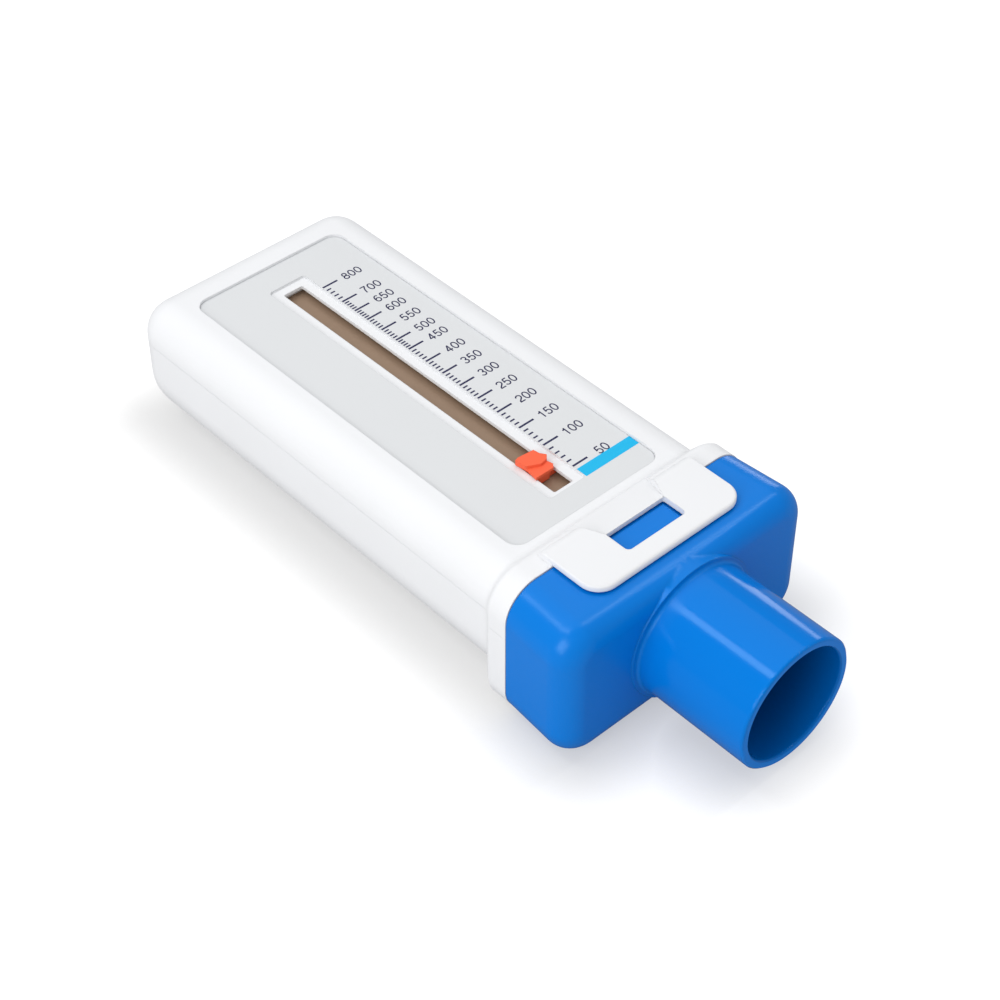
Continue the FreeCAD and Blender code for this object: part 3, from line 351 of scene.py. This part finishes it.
def printed(name, shade, base):
    """Screen-printed ink, a little thin in places."""
    finish = Finish(name)
    cover = finish.noise(3000.0, 3.0)
    return finish.surface(
        Base_Color=finish.blend(0.01 + 0.02 * cover, rgba(shade), rgba(base)),
        Roughness=0.5 + 0.1 * cover,
        Specular_IOR_Level=0.15,
    )


def looks():
    return bpy.context.scene.meter_colours


def sizes():
    return bpy.context.scene.meter_sizes


MATERIALS = {}


def material(name):
    """The finish of that name, made the first time that a piece asks for it."""
    if name in MATERIALS:
        return MATERIALS[name]
    hue, edge = looks(), sizes().edge_round
    # Each row: colour, share of the edges' softness, sheen, mottle, grain and specular level.
    plastics = {
        "white_plastic": (hue.white, 1.0, 0.42, 0.012, 0.05, 0.4),
        "inner_plastic": ((0.72, 0.73, 0.73), 0.6, 0.5, 0.02, 0.05, 0.5),
        "label_film": (hue.label, 0.2, 0.4, 0.008, 0.02, 0.35),
        "brown_strip": (hue.brown, 0.4, 0.5, 0.06, 0.05, 0.5),
        "orange_plastic": (hue.orange, 0.5, 0.4, 0.03, 0.05, 0.25),
        "rubber": ((0.03, 0.03, 0.033), 0.5, 0.7, 0.1, 0.1, 0.5),
    }
    makers = {
        "blue_plastic": lambda: mouth_plastic(name, hue.blue, edge * 1.4),
        "steel": lambda: metal(name, (0.56, 0.57, 0.6), 0.25),
        "felt": lambda: cloth_like(name, (0.28, 0.28, 0.29)),
        "navy_ink": lambda: printed(name, hue.navy, hue.label),
        "cyan_ink": lambda: printed(name, hue.cyan, hue.label),
    }
    if name in plastics:
        shade, softness, *rest = plastics[name]
        MATERIALS[name] = moulded(name, shade, edge * softness, *rest)
    else:
        MATERIALS[name] = makers[name]()
    return MATERIALS[name]


def dress(node, finish):
    """Gives a node of the frame its finish."""
    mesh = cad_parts[node].data
    mesh.materials.clear()
    mesh.materials.append(material(finish))
    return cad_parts[node]


def link(name, mesh):
    made = bpy.data.objects.new(name, mesh)
    bpy.context.scene.collection.objects.link(made)
    return made


def smooth_copy(node, name, finish, body, slot, sharp=50.0):
    """A copy of a node with its facets joined and shaded round, which stands in for the node."""
    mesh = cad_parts[node].data.copy()
    mesh.name = name
    work = bmesh.new()
    work.from_mesh(mesh)
    bmesh.ops.remove_doubles(work, verts=work.verts, dist=2e-6)
    bmesh.ops.dissolve_limit(
        work, angle_limit=math.radians(0.4), verts=work.verts, edges=work.edges, delimit=set()
    )
    for face in work.faces:
        face.smooth = True
        face.material_index = 0
    for edge in work.edges:
        edge.smooth = edge.is_manifold and edge.calc_face_angle(0.0) < math.radians(sharp)
    work.to_mesh(mesh)
    work.free()
    mesh.materials.clear()
    mesh.materials.append(material(finish))
    piece = link(name, mesh)
    weigh = piece.modifiers.new("even_shading", "WEIGHTED_NORMAL")
    weigh.keep_sharp = True
    weigh.weight = 80
    graph = bpy.context.evaluated_depsgraph_get()
    baked = bpy.data.meshes.new_from_object(piece.evaluated_get(graph), depsgraph=graph)
    piece.modifiers.clear()
    piece.data = baked
    baked.name = name
    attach(piece, body)
    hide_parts(node)
    return piece


def new_tree(name, inputs):
    """A geometry node group with these named inputs, and its first and last node."""
    tree = bpy.data.node_groups.new(name, "GeometryNodeTree")
    for title, kind in inputs:
        tree.interface.new_socket(title, in_out="INPUT", socket_type=f"NodeSocket{kind}")
    tree.interface.new_socket("Result", in_out="OUTPUT", socket_type="NodeSocketGeometry")
    return tree, tree.nodes.new("NodeGroupInput"), tree.nodes.new("NodeGroupOutput")


def close_tree(tree, made, start, end):
    """Makes the geometry real, gives it the finish and sends it out."""
    real = tree.nodes.new("GeometryNodeRealizeInstances")
    paint = tree.nodes.new("GeometryNodeSetMaterial")
    tree.links.new(made, real.inputs["Geometry"])
    tree.links.new(real.outputs["Geometry"], paint.inputs["Geometry"])
    tree.links.new(start.outputs["Finish"], paint.inputs["Material"])
    tree.links.new(paint.outputs["Geometry"], end.inputs["Result"])


def tick_tree():
    """Lays a flat bar on each point, large where the point is a numbered mark."""
    sizes_in = (("Major", "Vector"), ("Minor", "Vector"))
    inputs = (("Points", "Geometry"), *sizes_in, ("Finish", "Material"))
    tree, start, end = new_tree("scale_ticks", inputs)
    new = tree.nodes.new
    join = tree.links.new
    kind = new("GeometryNodeInputNamedAttribute")
    kind.data_type = "FLOAT"
    kind.inputs["Name"].default_value = "numbered"
    choose = new("ShaderNodeMix")
    choose.data_type = "VECTOR"
    join(kind.outputs["Attribute"], choose.inputs[0])
    join(start.outputs["Minor"], choose.inputs[4])
    join(start.outputs["Major"], choose.inputs[5])
    bar = new("GeometryNodeMeshCube")
    bar.inputs["Size"].default_value = (1.0, 1.0, 1.0)
    shift = new("GeometryNodeTransform")
    shift.inputs["Translation"].default_value = (0.5, 0.0, 0.5)
    join(bar.outputs["Mesh"], shift.inputs["Geometry"])
    put = new("GeometryNodeInstanceOnPoints")
    join(start.outputs["Points"], put.inputs["Points"])
    join(shift.outputs["Geometry"], put.inputs["Instance"])
    join(choose.outputs[1], put.inputs["Scale"])
    close_tree(tree, put.outputs["Instances"], start, end)
    return tree


def wire_tree():
    """Sweeps a round wire along the edges that it is given."""
    inputs = (("Path", "Geometry"), ("Wire", "Float"), ("Finish", "Material"))
    tree, start, end = new_tree("round_wire", inputs)
    new = tree.nodes.new
    join = tree.links.new
    path = new("GeometryNodeMeshToCurve")
    join(start.outputs["Path"], path.inputs["Mesh"])
    ring = new("GeometryNodeCurvePrimitiveCircle")
    ring.inputs["Resolution"].default_value = 10
    join(start.outputs["Wire"], ring.inputs["Radius"])
    sweep = new("GeometryNodeCurveToMesh")
    join(path.outputs["Curve"], sweep.inputs["Curve"])
    join(ring.outputs["Curve"], sweep.inputs["Profile Curve"])
    sweep.inputs["Fill Caps"].default_value = True
    round_off = new("GeometryNodeSetShadeSmooth")
    join(sweep.outputs["Mesh"], round_off.inputs["Geometry"])
    close_tree(tree, round_off.outputs["Geometry"], start, end)
    return tree


def run_tree(piece, tree, values):
    """Runs a tree on a piece with these named inputs and keeps the result as a plain mesh."""
    modifier = piece.modifiers.new(tree.name, "NODES")
    modifier.node_group = tree
    for item in tree.interface.items_tree:
        if item.in_out == "INPUT" and item.name in values:
            modifier[item.identifier] = values[item.name]
    graph = bpy.context.evaluated_depsgraph_get()
    mesh = bpy.data.meshes.new_from_object(piece.evaluated_get(graph), depsgraph=graph)
    piece.modifiers.clear()
    piece.data = mesh
    return piece


def plate(name, corners, height, thickness):
    """A thin closed plate over a flat outline."""
    mesh = bpy.data.meshes.new(name)
    work = bmesh.new()
    low = [work.verts.new((x * MM, y * MM, height)) for x, y in corners]
    work.faces.new(low)
    made = bmesh.ops.extrude_face_region(work, geom=list(work.faces))
    top = [item for item in made["geom"] if isinstance(item, bmesh.types.BMVert)]
    bmesh.ops.translate(work, verts=top, vec=(0.0, 0.0, thickness))
    bmesh.ops.recalc_face_normals(work, faces=work.faces)
    work.to_mesh(mesh)
    work.free()
    return link(name, mesh)


def arc(across, up, wide, tall, first, last):
    """Points along part of an ellipse, between two angles in degrees."""
    count = max(3, round(abs(last - first) / ARC_STEP))
    turns = [math.radians(first + (last - first) * step / count) for step in range(count + 1)]
    return [(across + wide * math.cos(turn), up + tall * math.sin(turn)) for turn in turns]


def pen_strokes():
    """The strokes of each digit, one high; a stroke that ends where it starts is closed."""
    return {
        "0": [arc(0.38, 0.50, 0.26, 0.45, 0, 360)],
        "1": [
            [(0.17, 0.72), (0.28, 0.75), (0.37, 0.82), (0.42, 0.95)],
            [(0.42, 0.95), (0.42, 0.0)],
        ],
        "2": [
            [*arc(0.38, 0.68, 0.25, 0.27, 170, -35), (0.40, 0.36), (0.20, 0.20), (0.13, 0.05)],
            [(0.10, 0.05), (0.66, 0.05)],
        ],
        "3": [arc(0.37, 0.735, 0.22, 0.215, 165, -90), arc(0.37, 0.285, 0.25, 0.235, 90, -165)],
        "4": [
            [(0.48, 0.0), (0.48, 0.95)],
            [(0.48, 0.93), (0.10, 0.27)],
            [(0.06, 0.27), (0.68, 0.27)],
        ],
        "5": [
            [(0.60, 0.95), (0.22, 0.95)],
            [(0.22, 0.95), (0.155, 0.47)],
            arc(0.37, 0.33, 0.255, 0.28, 148, -160),
        ],
        "6": [arc(0.39, 0.32, 0.25, 0.27, 0, 360), arc(0.42, 0.50, 0.28, 0.45, 200, 50)],
        "7": [
            [(0.10, 0.95), (0.65, 0.95)],
            [(0.64, 0.94), (0.46, 0.68), (0.35, 0.42), (0.29, 0.0)],
        ],
        "8": [arc(0.38, 0.735, 0.205, 0.215, 0, 360), arc(0.38, 0.28, 0.255, 0.235, 0, 360)],
    }


def written(name, text, place, size):
    """A number written with a round pen and pressed flat, as a mesh."""
    curve = bpy.data.curves.new(name, "CURVE")
    curve.dimensions = "3D"
    curve.bevel_depth = size.pen / 2
    curve.bevel_resolution = 1
    curve.use_fill_caps = True
    for index, digit in enumerate(text):
        for stroke in pen_strokes()[digit]:
            closed = math.dist(stroke[0], stroke[-1]) < 1e-6
            points = stroke[:-1] if closed else stroke
            line = curve.splines.new("POLY")
            line.points.add(len(points) - 1)
            line.use_cyclic_u = closed
            for point, (across, up) in zip(line.points, points):
                across = (across + index * DIGIT_ADVANCE) * size.digit_height
                point.co = (across, up * size.digit_height, 0.0, 1.0)
    made = bpy.data.objects.new(name, curve)
    bpy.context.scene.collection.objects.link(made)
    graph = bpy.context.evaluated_depsgraph_get()
    mesh = bpy.data.meshes.new_from_object(made.evaluated_get(graph), depsgraph=graph)
    bpy.data.objects.remove(made)
    mesh.transform(Matrix.Diagonal((1.0, 1.0, size.ink / size.pen, 1.0)))
    mesh.transform(Matrix.Translation(Vector(place)))
    return mesh


class METER_OT_casing(bpy.types.Operator):
    """Dresses the two halves of the casing and its screws"""

    bl_idname = "meter.casing"
    bl_label = "Casing"

    def execute(self, context):
        smooth_copy("front_casing", "front_shell", "white_plastic", "casing", "white_shell")
        smooth_copy("back_casing", "back_shell", "white_plastic", "casing", "white_shell")
        smooth_copy("casing_screws", "back_screws", "steel", "casing", "steel")
        return {"FINISHED"}


class METER_OT_label(bpy.types.Operator):
    """Dresses the label and prints its marks, numbers and bar"""

    bl_idname = "meter.label"
    bl_label = "Label"

    def execute(self, context):
        size = sizes()
        dress("scale_label", "label_film")
        _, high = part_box("scale_label")
        top = high.z
        right = high.x / MM - UNIT_BAR_INSET
        near, far = UNIT_BAR
        corners = [(SCALE_EDGE, near), (right, near), (right, far), (SCALE_EDGE, far)]
        bar = plate("unit_bar", corners, top, size.ink)
        bar.data.materials.append(material("cyan_ink"))
        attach(bar, "casing")
        self.marks(size, top)
        self.numbers(size, top)
        return {"FINISHED"}

    def marks(self, size, top):
        points = []
        for (_, place), (_, after) in zip(SCALE_MARKS, SCALE_MARKS[1:]):
            points.append((place, 1.0))
            for step in range(1, MARK_STEPS):
                points.append((place + (after - place) * step / MARK_STEPS, 0.0))
        points.append((SCALE_MARKS[-1][1], 1.0))
        mesh = bpy.data.meshes.new("scale_points")
        mesh.from_pydata([(SCALE_EDGE * MM, place * MM, top) for place, _ in points], [], [])
        numbered = mesh.attributes.new("numbered", "FLOAT", "POINT")
        for index, (_, kind) in enumerate(points):
            numbered.data[index].value = kind
        marks = link("scale_marks", mesh)
        values = {
            "Major": (size.major_tick, size.major_width, size.ink),
            "Minor": (size.minor_tick, size.minor_width, size.ink),
            "Finish": material("navy_ink"),
        }
        run_tree(marks, tick_tree(), values)
        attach(marks, "casing")

    def numbers(self, size, top):
        work = bmesh.new()
        for flow, place in SCALE_MARKS:
            across = NUMBERS_EDGE if flow >= 100 else SHORT_NUMBERS_EDGE
            spot = (across * MM, place * MM - size.digit_height * 0.5, top + size.ink / 2)
            work.from_mesh(written(f"number_{flow}", str(flow), spot, size))
        mesh = bpy.data.meshes.new("scale_numbers")
        work.to_mesh(mesh)
        work.free()
        mesh.materials.append(material("navy_ink"))
        numbers = link("scale_numbers", mesh)
        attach(numbers, "casing")


class METER_OT_slot(bpy.types.Operator):
    """Dresses the strip behind the slot and its rivets"""

    bl_idname = "meter.slot"
    bl_label = "Slot strip"

    def execute(self, context):
        dress("slot_strip", "brown_strip")
        smooth_copy("strip_rivets", "strip_pins", "inner_plastic", "casing", "inner_white")
        return {"FINISHED"}


class METER_OT_pointer(bpy.types.Operator):
    """Dresses the pointer, its shoe and the friction pad"""

    bl_idname = "meter.pointer"
    bl_label = "Pointer"

    def execute(self, context):
        finish = slot = "orange_plastic"
        smooth_copy("pointer_knob", "pointer_head", finish, "pointer", slot, sharp=30.0)
        dress("pointer_shoe", "orange_plastic")
        dress("friction_pad", "felt")
        return {"FINISHED"}


class METER_OT_works(bpy.types.Operator):
    """Dresses the piston, its rod, the bridges and the stops"""

    bl_idname = "meter.works"
    bl_label = "Works"

    def execute(self, context):
        for node, finish, body, slot in (
            ("piston_vane", "inner_plastic", "piston", "inner_white"),
            ("piston_hub", "inner_plastic", "piston", "inner_white"),
            ("hub_ring", "steel", "piston", "steel"),
            ("guide_rod", "steel", "casing", "steel"),
            ("front_bridge", "inner_plastic", "casing", "inner_white"),
            ("back_bridge", "inner_plastic", "casing", "inner_white"),
            ("rod_push_nut", "steel", "casing", "steel"),
            ("zero_stop", "rubber", "casing", "rubber"),
            ("end_stop", "rubber", "casing", "rubber"),
            ("spring_washer", "steel", "casing", "steel"),
            ("mouth_gasket", "rubber", "casing", "rubber"),
        ):
            smooth_copy(node, f"{node}_dressed", finish, body, slot)
        return {"FINISHED"}


class METER_OT_spring(bpy.types.Operator):
    """Winds the return spring"""

    bl_idname = "meter.spring"
    bl_label = "Return spring"

    def execute(self, context):
        size = sizes()
        low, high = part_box("return_spring")
        middle = (low + high) / 2
        wire = size.spring_wire / 2
        first, last = low.y + wire, high.y - wire
        turns = size.spring_turns
        closed = CLOSED_TURNS
        pitch = wire * CLOSED_PITCH
        points = []
        for step in range(int(COIL_STEPS * turns) + 1):
            turn = step / COIL_STEPS
            share = min(max((turn - closed) / (turns - 2 * closed), 0.0), 1.0)
            ends = (min(turn, closed) + max(turn - turns + closed, 0.0)) * pitch
            along = first + ends + share * (last - first - 2 * closed * pitch)
            angle = turn * math.tau
            across = size.spring_radius * math.cos(angle)
            points.append((across, along, middle.z + size.spring_radius * math.sin(angle)))
        mesh = bpy.data.meshes.new("spring_path")
        mesh.from_pydata(points, [(i, i + 1) for i in range(len(points) - 1)], [])
        coil = link("wound_spring", mesh)
        run_tree(coil, wire_tree(), {"Wire": wire, "Finish": material("steel")})
        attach(coil, "casing")
        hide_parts("return_spring")
        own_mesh(coil)
        return {"FINISHED"}


class METER_OT_mouthpiece(bpy.types.Operator):
    """Dresses the mouthpiece"""

    bl_idname = "meter.mouthpiece"
    bl_label = "Mouthpiece"

    def execute(self, context):
        smooth_copy("mouthpiece", "mouth_block", "blue_plastic", "mouthpiece", "blue_plastic")
        return {"FINISHED"}


class METER_OT_stage(bpy.types.Operator):
    """Sets the floor, the lamps, the world and the camera"""

    bl_idname = "meter.stage"
    bl_label = "Stage"

    def execute(self, context):
        self.floor()
        self.world()
        for name, (place, extent, power) in LAMPS.items():
            self.lamp(name, place, extent, power)
        self.camera()
        return {"FINISHED"}

    def floor(self):
        """Pale paper that glows a little, and that can't be seen from below."""
        mesh = bpy.data.meshes.new("floor")
        reach = FLOOR_REACH
        corners = [(-reach, -reach), (reach, -reach), (reach, reach), (-reach, reach)]
        mesh.from_pydata([(x, y, 0.0) for x, y in corners], [], [(0, 1, 2, 3)])
        floor = link("floor", mesh)
        floor.location.z = -FLOOR_DROP
        finish = Finish("floor_paper")
        # Painted shadow: the paper's colour and its glow are both dimmed toward the meter.
        shade = self.contact_shade(finish)
        seen = finish.node("ShaderNodeLightPath", output="Is Camera Ray")
        mirrored = finish.node("ShaderNodeLightPath", output="Is Glossy Ray")
        white = shade * (PAPER - PAPER_MIRRORED * mirrored)
        light = shade * (GLOW + GLOW_SEEN * seen - GLOW_MIRRORED * mirrored)
        paper = finish.node("ShaderNodeBsdfDiffuse", inputs={"Color": white})
        bright = {"Color": (1.0, 1.0, 1.0, 1.0), "Strength": light}
        glow = finish.node("ShaderNodeEmission", inputs=bright)
        total = finish.node("ShaderNodeAddShader", inputs={0: paper, 1: glow})
        below = finish.node("ShaderNodeNewGeometry", output="Backfacing")
        clear = finish.node("ShaderNodeBsdfTransparent")
        shown = finish.node("ShaderNodeMixShader", inputs={0: below, 1: total, 2: clear})
        mesh.materials.append(finish.show(shown))

    def contact_shade(self, finish):
        """Painted shadow: the paper dims softly toward the meter's footprint, fixed in place
        whatever the lamps or the moving parts do.
        """
        across, along, _ = finish.axes()
        gaps = []
        for half, middle, reach in PAINTED_SHADOW_PATCHES:
            aside = across.beyond(0.0, half * MM)
            ahead = along.beyond(middle * MM, reach * MM)
            gaps.append(finish.maths("SQRT", aside * aside + ahead * ahead))
        near = finish.maths("MINIMUM", *gaps).within(0.0, PAINTED_SHADOW_FADE)
        return (1.0 - PAINTED_SHADOW_DEPTH) + PAINTED_SHADOW_DEPTH * (near * near * (3.0 - 2.0 * near))

    def world(self):
        """A white sky, dimmer where a glossy part mirrors it."""
        world = bpy.data.worlds.new("studio")
        world.use_nodes = True
        bpy.context.scene.world = world
        tree = world.node_tree
        sky = tree.nodes["Background"]
        path = tree.nodes.new("ShaderNodeLightPath")
        dim = tree.nodes.new("ShaderNodeMapRange")
        dim.inputs["To Min"].default_value = SKY
        dim.inputs["To Max"].default_value = SKY_MIRRORED
        tree.links.new(path.outputs["Is Glossy Ray"], dim.inputs["Value"])
        tree.links.new(dim.outputs["Result"], sky.inputs["Strength"])
        sky.inputs["Color"].default_value = (1.0, 1.0, 1.0, 1.0)

    def lamp(self, name, place, extent, power):
        """A panel that faces the meter, with its first side laid along X."""
        lamp = bpy.data.lights.new(name, "AREA")
        lamp.shape = "RECTANGLE"
        lamp.size, lamp.size_y = extent
        lamp.energy = power
        made = bpy.data.objects.new(name, lamp)
        bpy.context.scene.collection.objects.link(made)
        back = (Vector(place) - Vector(LIT_POINT)).normalized()
        side = (Vector((1.0, 0.0, 0.0)) - back * back.x).normalized()
        turn = Matrix((side, back.cross(side), back)).transposed().to_4x4()
        made.matrix_world = Matrix.Translation(Vector(place)) @ turn

    def camera(self):
        camera = bpy.data.cameras.new("camera")
        camera.sensor_width = 36.0
        camera.lens = LENS
        camera.clip_start = 0.01
        made = bpy.data.objects.new("camera", camera)
        bpy.context.scene.collection.objects.link(made)
        made.location = CAMERA_PLACE
        made.rotation_euler = (math.radians(CAMERA_TILT), 0.0, math.radians(CAMERA_HEADING))
        bpy.context.scene.camera = made
        bpy.context.scene.view_settings.view_transform = "Standard"


class METER_PT_panel(bpy.types.Panel):
    """Lists the steps that dress the meter."""

    bl_idname = "METER_PT_panel"
    bl_label = "Peak flow meter"
    bl_space_type = "VIEW_3D"
    bl_region_type = "UI"
    bl_category = "Meter"

    def draw(self, context):
        for group in (context.scene.meter_sizes, context.scene.meter_colours):
            for name in group.__annotations__:
                self.layout.prop(group, name)
        for step in STEPS:
            self.layout.operator(step.bl_idname)


STEPS = (
    METER_OT_casing,
    METER_OT_label,
    METER_OT_slot,
    METER_OT_pointer,
    METER_OT_works,
    METER_OT_spring,
    METER_OT_mouthpiece,
    METER_OT_stage,
)
CLASSES = (MeterSizes, MeterColours, *STEPS, METER_PT_panel)


def register():
    for item in CLASSES:
        bpy.utils.register_class(item)
    bpy.types.Scene.meter_sizes = PointerProperty(type=MeterSizes)
    bpy.types.Scene.meter_colours = PointerProperty(type=MeterColours)


def unregister():
    del bpy.types.Scene.meter_colours
    del bpy.types.Scene.meter_sizes
    for item in reversed(CLASSES):
        bpy.utils.unregister_class(item)


def main():
    register()
    bpy.ops.meter.casing()
    bpy.ops.meter.label()
    bpy.ops.meter.slot()
    bpy.ops.meter.pointer()
    bpy.ops.meter.works()
    bpy.ops.meter.spring()
    bpy.ops.meter.mouthpiece()
    bpy.ops.meter.stage()


if __name__ == "__main__":
    main()
